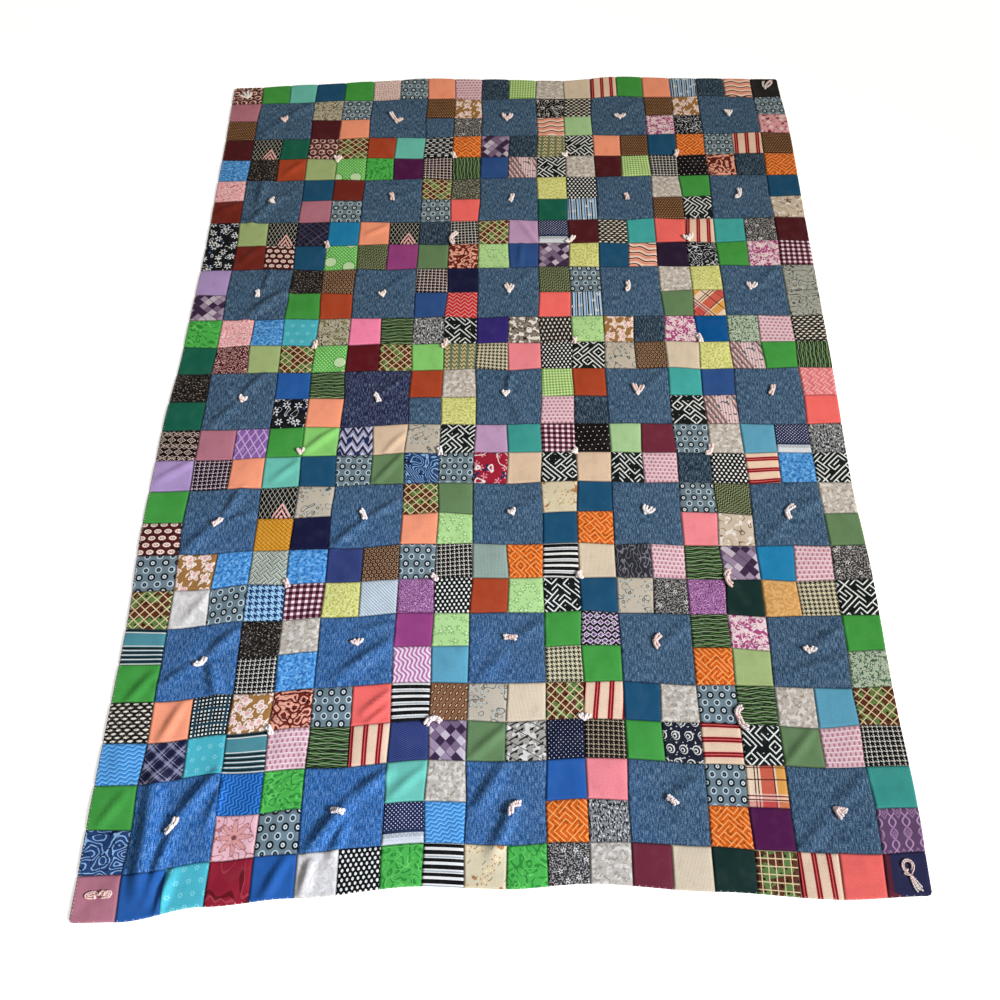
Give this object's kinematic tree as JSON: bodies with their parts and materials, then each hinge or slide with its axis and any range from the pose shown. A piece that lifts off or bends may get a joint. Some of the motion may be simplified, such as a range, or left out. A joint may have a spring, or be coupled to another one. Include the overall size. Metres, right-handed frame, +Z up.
{
  "type": "patchwork quilt",
  "caption": "Patchwork quilt of small mixed squares around larger denim squares, knotted through with short yarn ties, lying spread out flat with soft folds.",
  "frame": {"origin": "middle of the quilt's underside, where it lies on the surface", "axes": "+X to the right across the quilt, +Y along it to the far end, +Z up"},
  "size_m": [1.55, 2.1854, 0.0222],
  "materials": {
    "patchwork": "pieced dress fabrics and washed denim, matte",
    "tie_yarn": "soft plied knitting yarn, off-white"
  },
  "bodies": {
    "root": {"quilt": "patchwork", "block_tie_1_1": "tie_yarn", "block_tie_2_1": "tie_yarn", "block_tie_3_1": "tie_yarn", "block_tie_4_1": "tie_yarn", "block_tie_5_1": "tie_yarn", "block_tie_1_2": "tie_yarn", "block_tie_2_2": "tie_yarn", "block_tie_3_2": "tie_yarn", "block_tie_4_2": "tie_yarn", "block_tie_5_2": "tie_yarn", "block_tie_1_3": "tie_yarn", "block_tie_2_3": "tie_yarn", "block_tie_3_3": "tie_yarn", "block_tie_4_3": "tie_yarn", "block_tie_5_3": "tie_yarn", "block_tie_1_4": "tie_yarn", "block_tie_2_4": "tie_yarn", "block_tie_3_4": "tie_yarn", "block_tie_4_4": "tie_yarn", "block_tie_5_4": "tie_yarn", "block_tie_1_5": "tie_yarn", "block_tie_2_5": "tie_yarn", "block_tie_3_5": "tie_yarn", "block_tie_4_5": "tie_yarn", "block_tie_5_5": "tie_yarn", "block_tie_1_6": "tie_yarn", "block_tie_2_6": "tie_yarn", "block_tie_3_6": "tie_yarn", "block_tie_4_6": "tie_yarn", "block_tie_5_6": "tie_yarn", "block_tie_1_7": "tie_yarn", "block_tie_2_7": "tie_yarn", "block_tie_3_7": "tie_yarn", "block_tie_4_7": "tie_yarn", "block_tie_5_7": "tie_yarn", "corner_tie_far_left": "tie_yarn", "corner_tie_far_right": "tie_yarn", "corner_tie_near_left": "tie_yarn", "corner_tie_near_right": "tie_yarn", "crossing_tie_1_2": "tie_yarn", "crossing_tie_2_2": "tie_yarn", "crossing_tie_3_2": "tie_yarn", "crossing_tie_4_2": "tie_yarn", "crossing_tie_1_3": "tie_yarn", "crossing_tie_2_3": "tie_yarn", "crossing_tie_3_3": "tie_yarn", "crossing_tie_4_3": "tie_yarn", "crossing_tie_1_4": "tie_yarn", "crossing_tie_2_4": "tie_yarn", "crossing_tie_3_4": "tie_yarn", "crossing_tie_4_4": "tie_yarn", "crossing_tie_1_5": "tie_yarn", "crossing_tie_2_5": "tie_yarn", "crossing_tie_3_5": "tie_yarn", "crossing_tie_4_5": "tie_yarn", "crossing_tie_1_6": "tie_yarn", "crossing_tie_2_6": "tie_yarn", "crossing_tie_3_6": "tie_yarn", "crossing_tie_4_6": "tie_yarn"}
  },
  "joints": []
}
